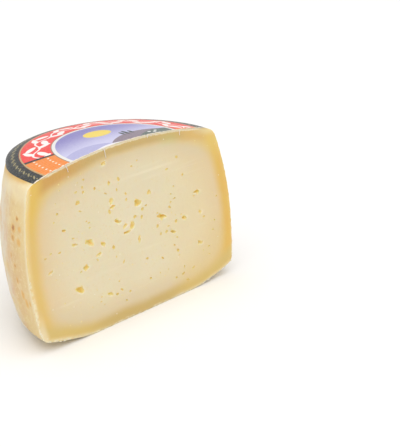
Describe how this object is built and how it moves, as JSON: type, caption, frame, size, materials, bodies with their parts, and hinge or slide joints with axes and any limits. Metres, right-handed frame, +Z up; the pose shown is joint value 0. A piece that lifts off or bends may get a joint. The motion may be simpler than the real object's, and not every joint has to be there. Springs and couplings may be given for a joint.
{
  "type": "half wheel of semi-cured sheep cheese",
  "caption": "Half of a small wheel of semi-cured sheep cheese with a domed top, a pale cut face with small uneven eyes, a golden rind edge and its cut paper label.",
  "frame": {"origin": "under the middle of the piece's outer sizes, at the level of its underside", "axes": "+X along the cut face to its right as seen from the front, +Y into the cheese away from the cut face, +Z up"},
  "size_m": [0.127, 0.061, 0.0888],
  "materials": {
    "cheese": "moist cut cheese, satin, with a dry matte rind",
    "label": "printed coated paper, satin"
  },
  "bodies": {
    "root": {"cheese": "cheese", "label": "label"}
  },
  "joints": []
}
